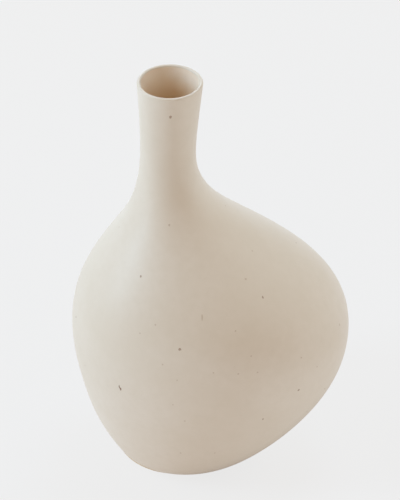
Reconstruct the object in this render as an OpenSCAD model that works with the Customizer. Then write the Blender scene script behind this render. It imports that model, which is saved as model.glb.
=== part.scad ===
// Stoneware bottle vase with a narrow neck over a body that bulges to one side.
// It is hand built: clay sections are joined at bevelled edges with slip between
// them, coated inside and out with glaze, and stand on an unglazed foot ring.
// +Z is up, +X is the side of the bulge, and the origin is the foot's centre on
// the surface that the vase stands on.

/* [Overall] */
// Height from the standing surface to the top of the lip
height = 300; // [270:5:330]
// Width across the bulge
body_w = 190; // [174:2:206]
// Depth of the body, front to back
body_d = 154; // [140:2:168]

/* [Neck and lip] */
// Radius of the neck at its waist
waist_r = 18; // [16:0.5:20]
// Outside radius of the lip
lip_r = 21.25; // [19:0.25:24]
// How far the lip stands to the left of the foot's centre
neck_shift = 4.25; // [0:0.25:8]

/* [Foot] */
// Outside radius of the foot ring
foot_r = 42; // [38:1:45]
// Height of the foot ring
foot_h = 3; // [2:0.5:4]
// Width of the foot ring's clay
foot_w = 7.5; // [5:0.5:10]
// Rounding of the foot ring's lower outside edge
foot_round = 2; // [0.5:0.5:2]

/* [Wall] */
// Thickness of the body's clay
body_wall = 4.5; // [3.5:0.5:6]
// Thickness of the clay at the lip
lip_wall = 1.6; // [1.4:0.1:3]
// Thickness of each coat of glaze
glaze = 0.4; // [0.3:0.1:0.6]
// Thickness of the slip between two clay sections
slip = 0.4; // [0.3:0.1:0.8]
// How much higher a joint is on the inside of the wall than on the outside
bevel = 3; // [1:0.5:5]

/* [Joints] */
// Height of the base slab's top edge
slab_top = 8; // [7.5:0.5:10]
// Height of the joint around the widest part, as a share of the vase's height
belly_share = 0.35; // [0.3:0.01:0.4]
// Height of the joint at the root of the neck, as a share of the vase's height
neck_share = 0.68; // [0.65:0.01:0.71]
// Height of the lip coil
lip_h = 12; // [8:1:30]

/* [Detail] */
// Number of flats around each section
sides = 40; // [24:4:48]

/* [Hidden] */

glaze_cream = [0.86, 0.83, 0.78];
liner_tan = [0.78, 0.68, 0.57];
clay_buff = [0.80, 0.71, 0.60];
slip_brown = [0.70, 0.58, 0.46];

// Height of the bare clay below the glaze line
body_z = foot_h + slip;
// The floor inside the body is a little above the base slab's edge
floor_z = slab_top + 0.5;
// Rounding of the lip, and the height where it begins
lip_round = lip_wall / 2 + glaze;
round_z = height - lip_round;
// Heights between which the wall thins from the body's thickness to the lip's
taper = [height * 0.63, round_z];
// Height step over which the slope of the wall is measured
slope_step = 0.5;

// Rings that shape the body of a vase 300 high, 190 wide and 154 deep: height,
// reach to the left and to the right of the foot's centre, and half the depth.
// The surface is a smooth curve that they draw towards them.
body_rings = [
    [8, 44, 61, 54],
    [32, 58.5, 90.5, 64],
    [66, 67, 113.5, 72],
    [102, 73, 121, 78],
    [138, 69, 113.5, 77],
    [168, 51.5, 71, 59],
    [192, 36, 39.5, 39],
    [210, 28.5, 24, 27]
];
body_scale = [height / 300, body_w / 190, body_w / 190, body_d / 154];

// A round ring at height h whose centre stands to the left of the foot's centre
function round_ring(h, r, left) = [h, r + left, r - left, r];

rings = concat(
    [round_ring(body_z, foot_r, 0)],
    [for (ring = body_rings) [for (k = [0:3]) ring[k] * body_scale[k]]],
    [
        round_ring(height * 0.775, waist_r - 0.5, neck_shift + 1.75),
        round_ring(height * 0.885, waist_r + 0.5, neck_shift + 0.75),
        round_ring(height, lip_r, neck_shift)
    ]
);
spans = len(rings) + 1;

// Shares that four neighbouring rings have in a smooth curve through a span
function shares(f) = [
    pow(1 - f, 3) / 6,
    (3 * pow(f, 3) - 6 * f * f + 4) / 6,
    (-3 * pow(f, 3) + 3 * f * f + 3 * f + 1) / 6,
    pow(f, 3) / 6
];

// The ring with this number, with the first and last rings repeated beyond the ends
function held_ring(i) = rings[min(max(i, 0), len(rings) - 1)];

// The smooth surface's ring at a place counted in spans from the foot
function ring_in_span(s) =
    let (i = min(floor(s), spans - 1))
    shares(s - i) * [for (k = [-2:1]) held_ring(i + k)];

// The place, in spans, where the surface reaches height h
function span_at(h, low = 0, high = spans, turns = 24) =
    let (middle = (low + high) / 2)
    turns == 0 ? middle :
    ring_in_span(middle)[0] < h ? span_at(h, middle, high, turns - 1) :
    span_at(h, low, middle, turns - 1);

function ring_at(h) = ring_in_span(span_at(h));

// Point and outward direction of a ring's outline at an angle around it
function outline(ring, angle) = [
    (ring[2] - ring[1]) / 2 + (ring[2] + ring[1]) / 2 * cos(angle),
    ring[3] * sin(angle)
];
function outward(ring, angle) =
    let (n = [ring[3] * cos(angle), (ring[1] + ring[2]) / 2 * sin(angle)])
    n / norm(n);

// Points of a loft's row [h, depth, z]: the outside at height h, taken in by a
// depth that is measured square to the wall, and laid in the plane at height z
function row_points(row) =
    let (
        ring = ring_at(row[0]),
        below = ring_at(max(row[0] - slope_step, body_z)),
        above = ring_at(min(row[0] + slope_step, height)),
        rise = above[0] - below[0]
    )
    [
        for (k = [0:sides - 1])
            let (
                angle = 360 * k / sides,
                n = outward(ring, angle),
                flare = (outline(above, angle) - outline(below, angle)) * n / rise,
                p = outline(ring, angle) - row[1] * sqrt(1 + flare * flare) * n
            )
            [p[0], p[1], row[2]]
    ];

// Thickness of the clay at height h
function wall_at(h) =
    let (f = min(max((h - taper[0]) / (taper[1] - taper[0]), 0), 1))
    body_wall + (lip_wall - body_wall) * f;

// Heights from one to another in equal steps, or ever longer ones where ease is over 1
function steps(from, to, count, ease = 1) =
    [for (k = [0:count]) from + (to - from) * pow(k / count, ease)];
function reverse(list) = [for (k = [len(list) - 1:-1:0]) list[k]];

// Rows at these heights, at a fixed depth below the outside
function at_depth(heights, depth) = [for (h = heights) [h, depth, h]];
// Rows at these heights, behind the clay and an extra depth
function behind_clay(heights, extra) =
    [for (h = heights) [h, glaze + wall_at(h) + extra, h]];
// Rows over the rounded lip from the outside to the inside, radius r about its core
function over_lip(r) = [
    for (angle = [0:45:180])
        [round_z, lip_round - r * cos(angle), round_z + r * sin(angle)]
];

// Each joint's height on the outside and on the inside of the wall
joint_base = [slab_top, floor_z];
function bevelled(h) = [h, h + bevel];
joint_belly = bevelled(height * belly_share);
joint_neck = bevelled(height * neck_share);
joint_lip = bevelled(height - lip_h);

// Row heights of each section; side 0 is the outside of the wall and 1 the inside.
// The lower bowl turns fastest near the foot, so its steps are short there.
function lower_steps(side) = steps(joint_base[side] + slip, joint_belly[side], 8, 1.6);
function upper_steps(side) = steps(joint_belly[side] + slip, joint_neck[side], 9);
function neck_steps(side) = steps(joint_neck[side] + slip, joint_lip[side], 6);
function lip_steps(side) = steps(joint_lip[side] + slip, round_z, 1);
function above_slab(side) =
    concat(lower_steps(side), upper_steps(side), neck_steps(side), lip_steps(side));
slab_steps = steps(body_z, slab_top, 2);

// Closed solid through rows of points: a ring where the rows close on themselves,
// or else a plug that is capped on its first and last rows. The diagonals follow
// the height, so two solids that share a surface share its triangles too.
module loft(rows, closes) {
    points = [for (row = rows) each row_points(row)];
    last = len(rows) - 1;
    walls = [
        for (j = [0:closes ? last : last - 1], k = [0:sides - 1])
            let (
                next_j = j == last ? 0 : j + 1,
                next_k = (k + 1) % sides,
                a = j * sides + k,
                b = j * sides + next_k,
                c = next_j * sides + next_k,
                d = next_j * sides + k,
                rises = rows[next_j][2] >= rows[j][2]
            )
            each rises ? [[a, d, c], [a, c, b]] : [[d, c, b], [d, b, a]]
    ];
    caps = closes ? [] : [
        [for (k = [0:sides - 1]) k],
        [for (k = [sides - 1:-1:0]) last * sides + k]
    ];
    polyhedron(points, concat(walls, caps), convexity = 8);
}

// Clay wall between its outside heights and its inside heights
module clay_section(outside, inside) {
    loft(concat(at_depth(outside, glaze), reverse(behind_clay(inside, 0))), true);
}

// Layer of slip that fills a joint from face to face
module slip_seam(joint) {
    clay_section([joint[0], joint[0] + slip], [joint[1], joint[1] + slip]);
}

// Bare ring that the vase stands on, with its lower outside edge rounded
module foot_ring() {
    inner_r = foot_r - foot_w;
    color(clay_buff)
    rotate_extrude($fn = 96)
    intersection() {
        translate([inner_r, 0]) square([foot_w, foot_h]);
        union() {
            translate([inner_r, 0]) square([foot_w - foot_round, foot_h]);
            translate([inner_r, foot_round]) square([foot_w, foot_h]);
            translate([foot_r - foot_round, foot_round]) circle(r = foot_round);
        }
    }
}

// Thick floor of the vase, with the foot of the outside wall along its edge
module base_slab() {
    color(clay_buff)
    loft(concat(at_depth(slab_steps, glaze), behind_clay([floor_z], 0)), false);
}

// Wall from the base slab up to the widest part
module lower_bowl() {
    color(clay_buff) clay_section(lower_steps(0), lower_steps(1));
}

// Shoulder that closes in from the widest part to the root of the neck
module upper_bowl() {
    color(clay_buff) clay_section(upper_steps(0), upper_steps(1));
}

// Waisted tube that opens a little towards the lip
module neck() {
    color(clay_buff) clay_section(neck_steps(0), neck_steps(1));
}

// Rounded coil that finishes the mouth
module lip_coil() {
    core_r = lip_round - glaze;
    outside = at_depth([lip_steps(0)[0]], glaze);
    inside = behind_clay([lip_steps(1)[0]], 0);
    color(clay_buff) loft(concat(outside, over_lip(core_r), inside), true);
}

// Slip in the joint under the slab and in the four joints of the wall
module luting_slip() {
    color(slip_brown) {
        translate([0, 0, foot_h])
        difference() {
            cylinder(h = slip, r = foot_r, $fn = 96);
            translate([0, 0, -1]) cylinder(h = slip + 2, r = foot_r - foot_w, $fn = 96);
        }
        for (joint = [joint_base, joint_belly, joint_neck, joint_lip]) slip_seam(joint);
    }
}

// Waterproof coat over the floor and the inside of the wall, up to the lip
module liner_glaze() {
    heights = concat([floor_z], above_slab(1));
    cavity_heights = concat([floor_z + glaze], [for (h = heights) if (h > floor_z + slip) h]);
    clay_side = behind_clay(heights, 0);
    cavity_side = behind_clay(reverse(cavity_heights), glaze);
    color(liner_tan) loft(concat(clay_side, cavity_side), false);
}

// Satin coat from the foot up the outside and over the lip
module outer_glaze() {
    heights = concat(slab_steps, above_slab(0));
    wall_heights = [for (h = heights) if (h < round_z) h];
    face = concat(at_depth(wall_heights, 0), over_lip(lip_round));
    back = concat(at_depth(wall_heights, glaze), over_lip(lip_round - glaze));
    color(glaze_cream) loft(concat(face, reverse(back)), true);
}

foot_ring();
base_slab();
lower_bowl();
upper_bowl();
neck();
lip_coil();
luting_slip();
liner_glaze();
outer_glaze();
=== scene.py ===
"""The looks of a stoneware bottle vase: smooth clay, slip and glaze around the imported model."""

import math
import random

import bpy
import numpy as np
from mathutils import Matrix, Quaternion, Vector


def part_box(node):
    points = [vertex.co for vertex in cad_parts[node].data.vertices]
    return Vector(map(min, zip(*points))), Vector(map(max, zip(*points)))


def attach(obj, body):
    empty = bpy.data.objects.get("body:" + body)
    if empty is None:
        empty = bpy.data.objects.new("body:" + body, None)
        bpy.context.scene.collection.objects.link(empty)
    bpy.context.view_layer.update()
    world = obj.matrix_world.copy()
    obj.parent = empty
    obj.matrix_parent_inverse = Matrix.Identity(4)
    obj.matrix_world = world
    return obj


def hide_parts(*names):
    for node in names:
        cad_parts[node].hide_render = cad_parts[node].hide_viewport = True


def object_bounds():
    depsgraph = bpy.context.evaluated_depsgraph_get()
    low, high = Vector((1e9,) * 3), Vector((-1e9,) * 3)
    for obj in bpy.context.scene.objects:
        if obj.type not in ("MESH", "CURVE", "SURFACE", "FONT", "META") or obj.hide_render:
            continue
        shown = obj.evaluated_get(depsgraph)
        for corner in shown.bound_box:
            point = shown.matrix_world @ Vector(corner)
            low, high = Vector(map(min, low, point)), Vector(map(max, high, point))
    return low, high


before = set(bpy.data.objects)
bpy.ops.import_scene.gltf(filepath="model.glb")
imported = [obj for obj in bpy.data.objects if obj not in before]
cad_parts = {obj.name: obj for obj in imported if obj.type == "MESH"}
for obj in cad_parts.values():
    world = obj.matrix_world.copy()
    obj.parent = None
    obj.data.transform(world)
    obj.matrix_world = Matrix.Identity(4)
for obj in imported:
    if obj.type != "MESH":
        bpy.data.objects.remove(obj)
cad_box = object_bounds()

# Lengths are in metres, in millimetres times MM. Speck lists, speck sizes and the sizes
# inside materials are in plain millimetres.
MM = 0.001

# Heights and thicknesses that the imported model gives
HEIGHT = cad_box[1].z
ROUND_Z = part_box("liner_glaze")[1].z
LIP_ROUND = HEIGHT - ROUND_Z
FLOOR_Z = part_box("liner_glaze")[0].z
BODY_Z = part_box("outer_glaze")[0].z
FOOT_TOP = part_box("foot_ring")[1].z
FOOT_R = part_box("foot_ring")[1].x
SLAB_TOP = FLOOR_Z - 0.5 * MM
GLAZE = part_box("outer_glaze")[1].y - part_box("upper_bowl")[1].y
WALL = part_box("upper_bowl")[1].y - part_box("liner_glaze")[1].y
SLIP = BODY_Z - FOOT_TOP
FOOT_INNER = min(v.co.xy.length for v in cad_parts["foot_ring"].data.vertices)
TAPER_FROM = 0.63 * HEIGHT

# Detail of the smooth pieces: points around and steps along the wall, where seen and hidden
AROUND = 224
AROUND_HIDDEN = 128
ROW_STEP = 1.7 * MM
HIDDEN_STEP = 4.5 * MM


def srgb(red, green, blue):
    """A colour in linear light from its three sRGB values, 0 to 255."""
    def linear(value):
        share = value / 255
        return share / 12.92 if share <= 0.04045 else ((share + 0.055) / 1.055) ** 2.4
    return (linear(red), linear(green), linear(blue), 1.0)


# ---------------------------------------------------------------- the vase's form

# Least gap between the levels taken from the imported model, and half the step for a slope
LEVEL_GAP = 1 * MM
SLOPE_STEP = 0.4 * MM

# The hand-finished wall's waves: height in mm, count around, phase, and twist as they rise
WAVES = [(0.14, 2, 1.3, 1.0), (0.09, 3, 4.1, -1.7), (0.05, 5, 0.6, 2.9)]
WAVE_RISE = 60 * MM
CALM_ABOVE_FOOT = 10 * MM


def outline_levels(node):
    """Height, reach to -X, reach to +X and half depth of a CAD node at each of its levels,
    leaving out the lip's roll and levels that lie too close together."""
    points = np.array([v.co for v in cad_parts[node].data.vertices])
    heights = np.round(points[:, 2], 5)
    levels = []
    for z in np.unique(heights):
        ring = points[heights == z]
        far_enough = not levels or z - levels[-1][0] > LEVEL_GAP
        if z <= ROUND_Z + 0.01 * MM and far_enough:
            levels.append((z, -ring[:, 0].min(), ring[:, 0].max(), ring[:, 1].max()))
    return np.array(levels)


def smooth_curve(knots, per_span=80):
    """Points close together on the natural cubic spline through the knots."""
    length = np.concatenate([[0], np.cumsum(np.linalg.norm(np.diff(knots, axis=0), axis=1))])
    span = np.diff(length)
    count = len(knots)
    matrix = np.eye(count)
    bend = np.zeros_like(knots)
    for i in range(1, count - 1):
        matrix[i, i - 1:i + 2] = span[i - 1], 2 * (span[i - 1] + span[i]), span[i]
        slope_before = (knots[i] - knots[i - 1]) / span[i - 1]
        bend[i] = 6 * ((knots[i + 1] - knots[i]) / span[i] - slope_before)
    curvature = np.linalg.solve(matrix, bend)
    curve = []
    for i in range(count - 1):
        for f in np.arange(per_span) / per_span:
            g = 1 - f
            cubic = (g**3 - g) * curvature[i] + (f**3 - f) * curvature[i + 1]
            curve.append(g * knots[i] + f * knots[i + 1] + cubic * span[i] ** 2 / 6)
    curve.append(knots[-1])
    return np.array(curve)


# The outside as rows of height, reach to -X, reach to +X and half depth, from the glaze's lower
# edge to the lip's roll, and how far along the wall each row lies
FORM = smooth_curve(outline_levels("outer_glaze"))
FORM_LENGTH = np.concatenate([[0], np.cumsum(np.linalg.norm(np.diff(FORM, axis=0), axis=1))])


def ring_at(height):
    """Reach to -X, reach to +X and half depth of the outside at a height."""
    return np.array([np.interp(height, FORM[:, 0], FORM[:, k]) for k in (1, 2, 3)])


def heights_between(low, high, step):
    """Heights from low to high, at even steps along the wall."""
    start, end = np.interp([low, high], FORM[:, 0], FORM_LENGTH)
    count = max(2, math.ceil((end - start) / step))
    heights = np.interp(np.linspace(start, end, count + 1), FORM_LENGTH, FORM[:, 0])
    heights[0], heights[-1] = low, high
    return list(heights)


def unevenness(angle, height):
    """How far the hand-finished wall stands proud of its true form."""
    turn = height / WAVE_RISE
    return MM * sum(
        high * np.sin(count * angle + phase + twist * turn) for high, count, phase, twist in WAVES
    )


def outline(ring, angle):
    """Points of a ring in plan."""
    left, right, half_depth = ring
    middle, half_width = (right - left) / 2, (right + left) / 2
    return np.stack([middle + half_width * np.cos(angle), half_depth * np.sin(angle)], axis=-1)


def outward(ring, angle):
    """Directions square to a ring, in plan."""
    left, right, half_depth = ring
    normal = np.stack([half_depth * np.cos(angle), (left + right) / 2 * np.sin(angle)], axis=-1)
    return normal / np.linalg.norm(normal, axis=-1, keepdims=True)


def row_points(row, angle):
    """Points of a row (height, depth, z, share): the outside at that height, taken in by a
    depth square to the wall, laid in the plane z, and drawn to the middle to leave a share."""
    height, depth, z, share = row
    low, high = max(height - SLOPE_STEP, BODY_Z), min(height + SLOPE_STEP, ROUND_Z)
    ring = ring_at(height)
    side = outward(ring, angle)
    flare = np.sum((outline(ring_at(high), angle) - outline(ring_at(low), angle)) * side, axis=-1)
    slant = np.sqrt(1 + (flare / (high - low)) ** 2)
    waviness = min(1.0, (height - BODY_Z) / CALM_ABOVE_FOOT)
    off = waviness * unevenness(angle, height) - depth * slant
    flat = outline(ring, angle) + off[:, None] * side
    middle = np.array([(ring[1] - ring[0]) / 2, 0.0])
    flat = middle + (flat - middle) * share
    return np.column_stack([flat, np.full(len(angle), z)])


def wall_at(height):
    """Thickness of the clay, which thins from the shoulder to the lip."""
    share = np.clip((height - TAPER_FROM) / (ROUND_Z - TAPER_FROM), 0, 1)
    return WALL + (2 * (LIP_ROUND - GLAZE) - WALL) * share


def at_depth(heights, depth):
    """Rows at a depth under the outside."""
    return [(h, depth, h, 1.0) for h in heights]


def behind_clay(heights, extra=0.0):
    """Rows on the inside of the clay wall, or further in by an extra depth."""
    return [(h, GLAZE + wall_at(h) + extra, h, 1.0) for h in heights]


def over_lip(radius, count=14):
    """Rows over the rounded lip, from the outside to the inside."""
    turns = [math.pi * k / count for k in range(count + 1)]
    return [
        (ROUND_Z, LIP_ROUND - radius * math.cos(t), ROUND_Z + radius * math.sin(t), 1.0)
        for t in turns
    ]


def disc_rows(height, depth, z, count=12):
    """Rows of a flat disc, from near its middle to just inside its edge."""
    return [(height, depth, z, (k + 0.15) / count) for k in range(count)]


# ---------------------------------------------------------------- mesh making

def make_piece(name, points, faces, node, slot, material, sharp=50):
    """A mesh that rides on the vase and stands for a CAD node, if one is given. It is shaded
    smooth up to a sharp angle, in degrees, and takes its finish from the material given.
    The slot is not used."""
    mesh = bpy.data.meshes.new(name)
    mesh.from_pydata([tuple(p) for p in points], [], faces)
    mesh.update()
    mesh.shade_smooth()
    mesh.set_sharp_from_angle(angle=math.radians(sharp))
    mesh.materials.append(material)
    piece = bpy.data.objects.new(name, mesh)
    bpy.context.scene.collection.objects.link(piece)
    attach(piece, "root")
    if node:
        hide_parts(node)
    return piece


def loft(rows, closes, around, first=0):
    """Points and faces through rows of points, as a closed ring or as a plug with two caps."""
    angle = np.linspace(0, 2 * math.pi, around, endpoint=False)
    points = np.concatenate([row_points(row, angle) for row in rows])
    return points, loft_faces(len(rows), closes, around, first)


def loft_faces(row_count, closes, around, first=0):
    """Faces between rows of points, of which the first is number first in the mesh."""
    faces = []
    for j in range(row_count if closes else row_count - 1):
        low, high = j * around, (j + 1) % row_count * around
        for k in range(around):
            after = (k + 1) % around
            faces.append([first + i for i in (low + k, low + after, high + after, high + k)])
    if not closes:
        faces.append([first + k for k in reversed(range(around))])
        faces.append([first + (row_count - 1) * around + k for k in range(around)])
    return faces


def revolve(profile, around):
    """Points and faces of a closed profile of (radius, height) turned about the foot's axis."""
    angle = np.linspace(0, 2 * math.pi, around, endpoint=False)
    rings = [
        np.column_stack([r * np.cos(angle), r * np.sin(angle), np.full(around, z)])
        for r, z in profile
    ]
    return np.concatenate(rings), loft_faces(len(profile), True, around)


# ---------------------------------------------------------------- materials

def add(tree, kind, inputs=None, **settings):
    """A shader node with its settings, each input set to a value or linked to a socket."""
    made = tree.nodes.new(kind)
    for name, value in settings.items():
        setattr(made, name, value)
    for name, value in (inputs or {}).items():
        socket = made.inputs[name]
        if isinstance(value, bpy.types.NodeSocket):
            tree.links.new(value, socket)
        else:
            socket.default_value = value
    return made


def math_node(tree, operation, a, b):
    return add(tree, "ShaderNodeMath", {0: a, 1: b}, operation=operation).outputs[0]


def mixed(tree, factor, a, b):
    """A blend of two colours."""
    made = add(tree, "ShaderNodeMix", {0: factor, 6: a, 7: b}, data_type="RGBA")
    return made.outputs[2]


def spread(tree, value, low, high, to_low=0.0, to_high=1.0):
    """A value's range from low to high, stretched to another range and held within it."""
    inputs = {0: value, 1: low, 2: high, 3: to_low, 4: to_high}
    return add(tree, "ShaderNodeMapRange", inputs).outputs[0]


def noise(tree, place, size, detail=2.0, roughness=0.5):
    """Cloudy noise whose features are about size millimetres across."""
    inputs = {"Vector": place, "Scale": 1 / size, "Detail": detail, "Roughness": roughness}
    return add(tree, "ShaderNodeTexNoise", inputs).outputs[0]


def new_material(name):
    """A material with its tree, its shader and a place socket in millimetres."""
    material = bpy.data.materials.new(name)
    material.use_nodes = True
    tree = material.node_tree
    shader = tree.nodes["Principled BSDF"]
    coordinates = add(tree, "ShaderNodeTexCoord").outputs["Object"]
    place = add(tree, "ShaderNodeVectorMath", {0: coordinates, "Scale": 1000.0}, operation="SCALE")
    return material, tree, shader, place.outputs[0]


def speck_mask(tree, place, cell, smallest, largest, wander=1.2):
    """Specks of random radii, one to a cell and with wandering outlines: 1 in a speck, else 0."""
    drift = add(tree, "ShaderNodeTexNoise", {"Vector": place, "Scale": 1 / wander, "Detail": 1.0})
    centred = add(tree, "ShaderNodeVectorMath", {0: drift.outputs["Color"], 1: (0.5, 0.5, 0.5)},
                  operation="SUBTRACT").outputs[0]
    shifted = add(tree, "ShaderNodeVectorMath", {0: centred, 1: (0.5, 0.5, 0.5), 2: place},
                  operation="MULTIPLY_ADD").outputs[0]
    cells = add(tree, "ShaderNodeTexVoronoi", {"Vector": shifted, "Scale": 1 / cell})
    chance = add(tree, "ShaderNodeSeparateColor", {0: cells.outputs["Color"]}).outputs[0]
    mostly_small = math_node(tree, "POWER", chance, 3.0)
    radius = spread(tree, mostly_small, 0, 1, smallest / cell, largest / cell)
    near = math_node(tree, "DIVIDE", cells.outputs["Distance"], radius)
    return spread(tree, near, 0.55, 1.0, 1.0, 0.0)


def bump(tree, height, distance):
    """A bump whose full height is distance millimetres."""
    inputs = {"Height": height, "Distance": distance * MM, "Strength": 1.0}
    return add(tree, "ShaderNodeBump", inputs).outputs[0]


# Depths below the mouth, in mm, between which painted shade turns the liner darker and warmer
NECK_SHADE_FROM = 7
NECK_SHADE_TO = 27


def satin_glaze():
    """Satin-matt cream glaze with cloudy tone, soft orange peel and the finest iron specks."""
    material, tree, shader, place = new_material("satin_cream_glaze")
    clouds = noise(tree, place, 70, 3.0)
    mottle = noise(tree, place, 6, 3.0, 0.6)
    cream = mixed(tree, spread(tree, clouds, 0.35, 0.65), srgb(219, 210, 196), srgb(215, 205, 189))
    cream = mixed(tree, spread(tree, mottle, 0.35, 0.7, 0.0, 0.35), cream, srgb(211, 201, 184))
    fine = speck_mask(tree, place, 3.2, 0.06, 0.24, 0.5)
    cream = mixed(tree, math_node(tree, "MULTIPLY", fine, 0.3), cream, srgb(176, 150, 122))
    tree.links.new(cream, shader.inputs["Base Color"])
    gloss = noise(tree, place, 18, 3.0)
    tree.links.new(spread(tree, gloss, 0.3, 0.7, 0.43, 0.5), shader.inputs["Roughness"])
    peel = noise(tree, place, 1.6, 2.0, 0.5)
    tree.links.new(bump(tree, peel, 0.015), shader.inputs["Normal"])
    shader.inputs["Specular IOR Level"].default_value = 0.58
    return material


def liner():
    """Thin warm glaze inside, a little glossier, with painted shade that turns it darker and
    warmer down the neck.
    """
    material, tree, shader, place = new_material("warm_liner_glaze")
    clouds = noise(tree, place, 22, 3.0)
    height = add(tree, "ShaderNodeSeparateXYZ", {0: place}).outputs[2]
    top = HEIGHT / MM
    # Painted shade: the tone turns darker and warmer deeper down the neck
    neck_shade = spread(tree, height, top - NECK_SHADE_TO, top - NECK_SHADE_FROM, 1.0, 0.0)
    tone = mixed(tree, neck_shade, srgb(237, 226, 211), srgb(228, 196, 154))
    tone = mixed(tree, spread(tree, clouds, 0.35, 0.65, 0.0, 0.4), tone, srgb(230, 209, 184))
    fine = speck_mask(tree, place, 3.0, 0.08, 0.3, 0.5)
    tone = mixed(tree, math_node(tree, "MULTIPLY", fine, 0.35), tone, srgb(140, 112, 84))
    tree.links.new(tone, shader.inputs["Base Color"])
    tree.links.new(spread(tree, clouds, 0.3, 0.7, 0.28, 0.4), shader.inputs["Roughness"])
    tree.links.new(bump(tree, noise(tree, place, 2.2), 0.04), shader.inputs["Normal"])
    return material


def bare_clay(name, light, dark, grain=0.5):
    """Unglazed stoneware: sandy grain, darker iron grains and a dry matt surface."""
    material, tree, shader, place = new_material(name)
    clouds = noise(tree, place, 14, 4.0, 0.6)
    sand = noise(tree, place, grain, 2.0, 0.7)
    tone = mixed(tree, spread(tree, clouds, 0.3, 0.7), light, dark)
    tone = mixed(tree, spread(tree, sand, 0.55, 0.75, 0.0, 0.5), tone, dark)
    grog = speck_mask(tree, place, 2.6, 0.1, 0.34, 0.4)
    tone = mixed(tree, math_node(tree, "MULTIPLY", grog, 0.6), tone, srgb(110, 84, 62))
    tree.links.new(tone, shader.inputs["Base Color"])
    tree.links.new(spread(tree, sand, 0.3, 0.7, 0.78, 0.95), shader.inputs["Roughness"])
    tree.links.new(bump(tree, sand, 0.12), shader.inputs["Normal"])
    shader.inputs["Specular IOR Level"].default_value = 0.25
    return material


def iron(name, dark, light):
    """Melted iron specks, mottled from their dark middle to a rusty edge."""
    material, tree, shader, place = new_material(name)
    tone = mixed(tree, spread(tree, noise(tree, place, 0.35), 0.35, 0.65), dark, light)
    tree.links.new(tone, shader.inputs["Base Color"])
    tree.links.new(spread(tree, noise(tree, place, 0.5), 0.3, 0.7, 0.4, 0.6),
                   shader.inputs["Roughness"])
    return material


# ---------------------------------------------------------------- the pieces

# How far the slip stays back under the slab, the collar of clay that the lip's roll stands on,
# outside and inside, and the rounding of the liner's corner and of the foot ring's edges
SLIP_INSET = 0.15 * MM
LIP_COLLAR = 5 * MM
LIP_COLLAR_IN = 3 * MM
LINER_FILLET = 5 * MM
FOOT_ROUND_OUT = 2 * MM
FOOT_ROUND_IN = 1 * MM
TURNING_LINES = 9
TURNING_DEPTH = 0.06 * MM

CREAM = satin_glaze()
LINER = liner()
FOOT_CLAY = bare_clay("bare_foot_clay", srgb(218, 204, 181), srgb(202, 184, 157))
BODY_CLAY = bare_clay("body_clay", srgb(204, 184, 158), srgb(190, 166, 138))
SLIP_CLAY = bare_clay("fired_slip", srgb(196, 176, 150), srgb(182, 159, 132), 0.3)
IRON = iron("iron_speck", srgb(122, 94, 76), srgb(156, 128, 106))
RUSTY_IRON = iron("rusty_speck", srgb(164, 142, 124), srgb(180, 161, 143))
FAINT_IRON = iron("faint_speck", srgb(195, 180, 162), srgb(204, 191, 174))


def joint_of(lower, upper):
    """Heights of a joint, outside and inside, from the boxes of the nodes that meet there."""
    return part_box(upper)[0].z - SLIP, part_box(lower)[1].z


JOINT_BASE = (SLAB_TOP, FLOOR_Z)
JOINT_BELLY = joint_of("lower_bowl", "upper_bowl")
JOINT_NECK = joint_of("upper_bowl", "neck")
JOINT_LIP = joint_of("neck", "lip_coil")


def make_outer_glaze():
    face_heights = heights_between(BODY_Z, ROUND_Z, ROW_STEP)[1:-1]
    back_heights = heights_between(BODY_Z, ROUND_Z, HIDDEN_STEP)[1:-1]
    # The coat's lower edge is a rounded roll, as melted glaze leaves it
    roll = [
        (BODY_Z, GLAZE / 2 * (1 + math.cos(t)), BODY_Z - GLAZE / 2 * math.sin(t), 1.0)
        for t in np.linspace(0, math.pi, 7)
    ]
    rows = roll + at_depth(face_heights, 0.0) + over_lip(LIP_ROUND)
    rows += over_lip(LIP_ROUND - GLAZE)[::-1] + at_depth(back_heights[::-1], GLAZE)
    return make_piece("outer_glaze_skin", *loft(rows, True, AROUND), "outer_glaze",
                      "outer_glaze", CREAM)


def make_liner():
    heights = heights_between(FLOOR_Z, ROUND_Z, HIDDEN_STEP)
    seen = heights_between(FLOOR_Z + GLAZE, ROUND_Z, 1.5 * ROW_STEP)
    bottom = GLAZE + wall_at(FLOOR_Z)
    corner = []
    for t in np.linspace(0, math.pi / 2, 8):
        height = FLOOR_Z + GLAZE + LINER_FILLET * (1 - math.cos(t))
        corner.append((height, bottom + GLAZE + LINER_FILLET * (1 - math.sin(t)), height, 1.0))
    wall = behind_clay([h for h in seen if h > corner[-1][0] + 0.5 * MM], GLAZE)
    rows = disc_rows(FLOOR_Z, bottom, FLOOR_Z) + behind_clay(heights) + wall[::-1] + corner[::-1]
    rows += disc_rows(FLOOR_Z + GLAZE, bottom + GLAZE + LINER_FILLET, FLOOR_Z + GLAZE)[::-1]
    return make_piece("liner_glaze_skin", *loft(rows, False, AROUND_HIDDEN), "liner_glaze",
                      "liner_glaze", LINER)


def make_section(name, node, low, high):
    """A clay wall from the joint below it to the joint above it."""
    outside = heights_between(low[0] + SLIP, high[0], HIDDEN_STEP)
    inside = heights_between(low[1] + SLIP, high[1], HIDDEN_STEP)
    rows = at_depth(outside, GLAZE) + behind_clay(inside[::-1])
    return make_piece(name, *loft(rows, True, AROUND_HIDDEN), node, "body_clay", BODY_CLAY, 40)


def make_lip():
    outside, inside = JOINT_LIP
    rows = at_depth([outside + SLIP, outside + LIP_COLLAR], GLAZE) + over_lip(LIP_ROUND - GLAZE)
    rows += behind_clay([inside + LIP_COLLAR_IN, inside + SLIP])
    return make_piece("lip_coil_clay", *loft(rows, True, AROUND_HIDDEN), "lip_coil",
                      "body_clay", BODY_CLAY, 40)


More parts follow.
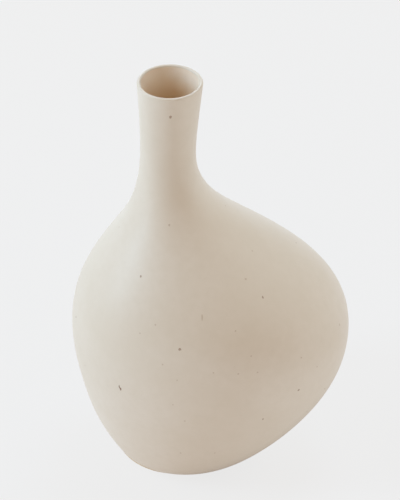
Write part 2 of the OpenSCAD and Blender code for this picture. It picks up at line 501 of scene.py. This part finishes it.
def make_slab():
    rows = disc_rows(BODY_Z, GLAZE, BODY_Z)
    rows += at_depth(heights_between(BODY_Z, SLAB_TOP, 1 * MM), GLAZE) + behind_clay([FLOOR_Z])
    rows += disc_rows(FLOOR_Z, GLAZE + wall_at(FLOOR_Z), FLOOR_Z)[::-1]
    return make_piece("base_slab_clay", *loft(rows, False, AROUND_HIDDEN), "base_slab",
                      "bare_clay", FOOT_CLAY, 40)


def make_slip():
    """The slip under the slab and in each joint of the wall, as rings in one piece."""
    edge = FOOT_R - SLIP_INSET
    profile = [(FOOT_INNER, BODY_Z), (FOOT_INNER, FOOT_TOP), (edge, FOOT_TOP), (edge, BODY_Z)]
    points, faces = revolve(profile, AROUND)
    for joint in (JOINT_BASE, JOINT_BELLY, JOINT_NECK, JOINT_LIP):
        rows = at_depth([joint[0], joint[0] + SLIP], GLAZE)
        rows += behind_clay([joint[1] + SLIP, joint[1]])
        more, more_faces = loft(rows, True, AROUND_HIDDEN, len(points))
        points, faces = np.concatenate([points, more]), faces + more_faces
    return make_piece("luting_slip_rings", points, faces, "luting_slip", "slip", SLIP_CLAY, 40)


def make_foot():
    """The turned ring: a flat standing face with fine turning lines, and rounded edges."""
    flat_from, flat_to = FOOT_INNER + FOOT_ROUND_IN, FOOT_R - FOOT_ROUND_OUT
    profile = [(FOOT_INNER, FOOT_TOP)]
    for t in np.linspace(0, math.pi / 2, 6):
        radius = flat_from - FOOT_ROUND_IN * math.cos(t)
        profile.append((radius, FOOT_ROUND_IN * (1 - math.sin(t))))
    for k in range(1, 2 * TURNING_LINES):
        groove = TURNING_DEPTH if k % 2 else 0.0
        profile.append((flat_from + (flat_to - flat_from) * k / (2 * TURNING_LINES), groove))
    for t in np.linspace(0, math.pi / 2, 8):
        radius = flat_to + FOOT_ROUND_OUT * math.sin(t)
        profile.append((radius, FOOT_ROUND_OUT * (1 - math.cos(t))))
    profile.append((FOOT_R, FOOT_TOP))
    points, faces = revolve(profile[::-1], AROUND)
    return make_piece("foot_ring_turned", points, faces, "foot_ring", "bare_clay", FOOT_CLAY, 60)


# Main iron specks of the front, in mm and degrees: height, bearing from +X, half width and
# half height
DARK_SPECKS = [(94.7, 229.1, 0.45, 1.5), (93, 229.7, 0.75, 1.4)]
RUSTY_SPECKS = [
    (139, 258, 1.0, 0.95), (286.2, 272, 0.85, 1.2), (176.3, 235, 0.7, 0.8),
    (162.2, 311.2, 0.65, 0.9), (93.6, 308, 0.9, 0.85), (74.2, 292.8, 0.55, 0.95),
]
# Faint ones that lie deeper in the glaze
FAINT_SPECKS = [
    (159.3, 272.6, 0.5, 2.2), (173, 311, 0.8, 0.7), (208, 264, 0.7, 0.8), (200, 6, 0.6, 0.6),
    (150, 286, 0.55, 0.6), (126, 250, 0.6, 0.6), (121, 281, 0.6, 0.6), (120, 289, 0.6, 0.6),
    (133, 288, 0.5, 0.6), (121, 310, 0.6, 0.6), (107, 318, 0.6, 0.6), (77, 259, 0.6, 0.6),
    (115, 256, 0.5, 0.6), (123, 271, 0.5, 0.6), (92, 254, 0.6, 0.5), (41, 259, 0.6, 0.7),
    (42, 276, 0.6, 0.6), (144, 239, 0.6, 0.5), (152, 247, 0.6, 0.6),
]


# Where the others may lie, and the sum of a ring's reaches at which every one is kept
SCATTER_HEIGHTS = (12, 285)
SCATTER_BEARINGS = (-60, 215)
SCATTER_GIRTH = 1.08 * HEIGHT

# A speck's lens: its sides, the share of its size and of its height at each ring from the rim
# inwards, and how far its rim stands off the glaze and its root lies under the rim
SPECK_SIDES = 14
SPECK_RINGS = ((1.0, 0.0), (0.8, 0.6), (0.4, 0.95))
SPECK_LIFT = 0.01 * MM
SPECK_ROOT = 0.1 * MM

# Steps, in mm and degrees, to the points that give the glaze's slope under a speck
STEP_UP = 0.5
STEP_ROUND = 0.3


def scattered(count, largest, seed):
    """Specks at random away from the front, fewer where the vase is narrow."""
    chance = random.Random(seed)
    found = []
    while len(found) < count:
        height, bearing = chance.uniform(*SCATTER_HEIGHTS), chance.uniform(*SCATTER_BEARINGS)
        if chance.random() < ring_at(height * MM).sum() / SCATTER_GIRTH:
            size = largest * chance.uniform(0.55, 1.0)
            found.append((height, bearing, size, size * chance.uniform(0.8, 1.5)))
    return found


def glaze_at(height, bearing):
    """A point just off the glaze, and the directions there: sideways, up and outward."""
    angle = np.radians([bearing, bearing + STEP_ROUND])
    here, above = (
        row_points((z, -SPECK_LIFT, z, 1.0), angle) for z in (height * MM, (height + STEP_UP) * MM)
    )
    side = Vector(here[1] - here[0]).normalized()
    normal = side.cross(Vector(above[0] - here[0])).normalized()
    return Vector(here[0]), side, normal.cross(side), normal


def lens_faces(first):
    """Faces of a lens whose points are its rings, its top and its root, from number first on."""
    last = first + (len(SPECK_RINGS) - 1) * SPECK_SIDES
    top, root = last + SPECK_SIDES, last + SPECK_SIDES + 1
    faces = []
    for k in range(SPECK_SIDES):
        after = (k + 1) % SPECK_SIDES
        for ring in range(first, last, SPECK_SIDES):
            inner = ring + SPECK_SIDES
            faces.append([ring + k, ring + after, inner + after, inner + k])
        faces.append([last + k, last + after, top])
        faces.append([first + after, first + k, root])
    return faces


def make_specks(name, specks, proud, material, seed):
    """Low closed lenses of melted iron, each with a slightly ragged outline."""
    chance = random.Random(seed)
    points, faces = [], []
    for height, bearing, half_width, half_height in specks:
        middle, side, rise, normal = glaze_at(height, bearing)
        faces += lens_faces(len(points))
        waves = [(n, chance.uniform(0.02, 0.14), chance.uniform(0, 6.3)) for n in (2, 3, 5)]
        for share, lift in SPECK_RINGS:
            for k in range(SPECK_SIDES):
                turn = 2 * math.pi * k / SPECK_SIDES
                ragged = share * (1 + sum(a * math.cos(n * turn + p) for n, a, p in waves))
                sideways = side * (ragged * half_width * MM * math.cos(turn))
                upward = rise * (ragged * half_height * MM * math.sin(turn))
                points.append(middle + sideways + upward + normal * (lift * proud * MM))
        points += [middle + normal * (proud * MM), middle - normal * SPECK_ROOT]
    return make_piece(name, points, faces, None, "outer_glaze", material, 80)


make_specks("iron_specks", DARK_SPECKS + scattered(3, 0.8, 3), 0.05, IRON, 11)
make_specks("rusty_specks", RUSTY_SPECKS + scattered(11, 0.8, 4), 0.03, RUSTY_IRON, 12)
make_specks("faint_specks", FAINT_SPECKS + scattered(26, 0.65, 5), 0.02, FAINT_IRON, 13)
make_outer_glaze()
make_liner()
make_section("lower_bowl_clay", "lower_bowl", JOINT_BASE, JOINT_BELLY)
make_section("upper_bowl_clay", "upper_bowl", JOINT_BELLY, JOINT_NECK)
make_section("neck_clay", "neck", JOINT_NECK, JOINT_LIP)
make_lip()
make_slab()
make_slip()
make_foot()


# ---------------------------------------------------------------- studio

# The even grey that the camera sees, and the same tone in linear light
SEEN_SRGB = 239
SEEN = 0.863

# The floor's radius in metres. By the vase it reflects a little and glows the less for it, so
# that the camera sees the same grey. Between two distances in mm it turns into a plain glow.
FLOOR_RADIUS = 6.0
FLOOR_REFLECTS = 0.08
GLOW_BY_VASE = 0.778
TURNS_PLAIN = (200, 900)

# What the floor sends up to the vase, with patches of painted shade by the vase, at its
# contact and under its belly: its middle in mm, where it starts and where it has turned into
# the next tone, and its tone at the start
BOUNCE = (0.83, 0.83, 0.845, 1.0)
SHADE_BY_VASE = ((0, 0, 0), 60, 300, (0.82, 0.78, 0.76, 1.0))
CONTACT_SHADE = ((32, -32, 0), 18, 50, (0.09, 0.035, 0.015, 1.0))
BELLY_SHADE = ((60, 20, 0), 30, 130, (0.15, 0.1, 0.06, 1.0))

ROOM_LIGHT = (0.42, 0.25, 0.115, 1.0)
LIGHT_DISTANCE = 1.5

# Soft boxes: bearing and elevation in degrees, width and height in metres, watts and colour
COOL = (0.72, 1.0, 1.25)
LIGHTS = {
    "key": (-80, 28, 0.4, 1.2, 13.4, COOL),
    "left": (-110, 30, 0.8, 1.0, 3.8, COOL),
    "back": (175, 20, 1.2, 1.2, 8.4, COOL),
    "high": (150, 65, 0.6, 0.6, 6.5, COOL),
    "right": (95, 20, 1.7, 1.7, 6.5, (0.8, 1.0, 1.12)),
    "front": (38, 25, 1.4, 1.4, 3.2, (0.78, 1.0, 1.15)),
}

# The camera looks down at the vase from the front, through a long lens
CAMERA_ELEVATION = 37.6
CAMERA_DISTANCE = 1.5
CAMERA_TURNS_ABOUT = (-0.004, 0.0, HEIGHT / 2)
CAMERA_AIM = (0.0159, 0.0, 0.1658)
CAMERA_ROLL = 0.54
CAMERA_LENS = 159.95


def grey(value):
    return (value, value, value, 1.0)


def shaded(tree, place, patch, tone):
    """A tone with a patch that has its own tone in the middle and fades away around it."""
    middle, start, end, inner = patch
    inputs = {0: place, 1: middle}
    away = add(tree, "ShaderNodeVectorMath", inputs, operation="DISTANCE").outputs["Value"]
    return mixed(tree, spread(tree, away, start, end), inner, tone)


def make_floor():
    """A plain pale floor that looks even. What it sends up is weaker and warmer by the vase, as
    a painted shadow, and what shows of it in the glaze has a painted shade of the belly."""
    mesh = bpy.data.meshes.new("floor")
    around = 64
    angle = np.linspace(0, 2 * math.pi, around, endpoint=False)
    points = [(FLOOR_RADIUS * math.cos(a), FLOOR_RADIUS * math.sin(a), 0.0) for a in angle]
    mesh.from_pydata(points, [], [list(range(around))])
    material, tree, shader, place = new_material("pale_floor")
    away = add(tree, "ShaderNodeVectorMath", {0: place}, operation="LENGTH").outputs["Value"]
    near = spread(tree, away, *TURNS_PLAIN, 1.0, 0.0)
    tree.links.new(mixed(tree, near, grey(0.0), grey(FLOOR_REFLECTS)), shader.inputs["Base Color"])
    plain = mixed(tree, near, grey(SEEN), grey(GLOW_BY_VASE))
    # Painted shadow of the vase in its glow, and painted shade of the belly in its reflection
    bounce = shaded(tree, place, CONTACT_SHADE, shaded(tree, place, SHADE_BY_VASE, BOUNCE))
    shaded_reflection = shaded(tree, place, BELLY_SHADE, BOUNCE)
    ray = add(tree, "ShaderNodeLightPath").outputs
    glow = mixed(tree, ray["Is Glossy Ray"], bounce, shaded_reflection)
    glow = mixed(tree, ray["Is Camera Ray"], glow, plain)
    tree.links.new(glow, shader.inputs["Emission Color"])
    shader.inputs["Emission Strength"].default_value = 1.0
    shader.inputs["Roughness"].default_value = 0.9
    shader.inputs["Specular IOR Level"].default_value = 0.0
    mesh.materials.append(material)
    floor = bpy.data.objects.new("floor", mesh)
    bpy.context.scene.collection.objects.link(floor)


def make_light(name, bearing, elevation, width, height, watts, colour):
    """A soft box that faces the vase; bearing 0 is the camera's side and 90 the right."""
    turn, lift = math.radians(bearing), math.radians(elevation)
    toward = Vector((
        math.sin(turn) * math.cos(lift), -math.cos(turn) * math.cos(lift), math.sin(lift),
    ))
    data = bpy.data.lights.new(name, "AREA")
    data.shape = "RECTANGLE"
    data.size, data.size_y = width, height
    data.energy = watts
    data.color = colour
    light = bpy.data.objects.new(name, data)
    light.location = Vector((0, 0, HEIGHT / 2)) + LIGHT_DISTANCE * toward
    light.rotation_mode = "QUATERNION"
    light.rotation_quaternion = (-toward).to_track_quat("-Z", "Y")
    bpy.context.scene.collection.objects.link(light)


def make_world():
    """A pale room: it looks like the floor, and lights the vase only a little."""
    world = bpy.data.worlds.new("studio")
    world.use_nodes = True
    tree = world.node_tree
    seen = add(tree, "ShaderNodeLightPath").outputs["Is Camera Ray"]
    tone = mixed(tree, seen, ROOM_LIGHT, srgb(SEEN_SRGB, SEEN_SRGB, SEEN_SRGB))
    tree.links.new(tone, tree.nodes["Background"].inputs["Color"])
    bpy.context.scene.world = world


def make_camera():
    elevation = math.radians(CAMERA_ELEVATION)
    back = Vector((0.0, -math.cos(elevation), math.sin(elevation)))
    place = Vector(CAMERA_TURNS_ABOUT) + CAMERA_DISTANCE * back
    data = bpy.data.cameras.new("camera")
    data.lens, data.sensor_width = CAMERA_LENS, 36.0
    data.clip_start, data.clip_end = 0.01, 50.0
    camera = bpy.data.objects.new("camera", data)
    camera.location = place
    camera.rotation_mode = "QUATERNION"
    roll = Quaternion((0, 0, 1), math.radians(CAMERA_ROLL))
    camera.rotation_quaternion = (Vector(CAMERA_AIM) - place).to_track_quat("-Z", "Y") @ roll
    bpy.context.scene.collection.objects.link(camera)
    bpy.context.scene.camera = camera


make_floor()
for light_name, light_settings in LIGHTS.items():
    make_light(light_name, *light_settings)
make_world()
make_camera()
bpy.context.scene.view_settings.view_transform = "Standard"
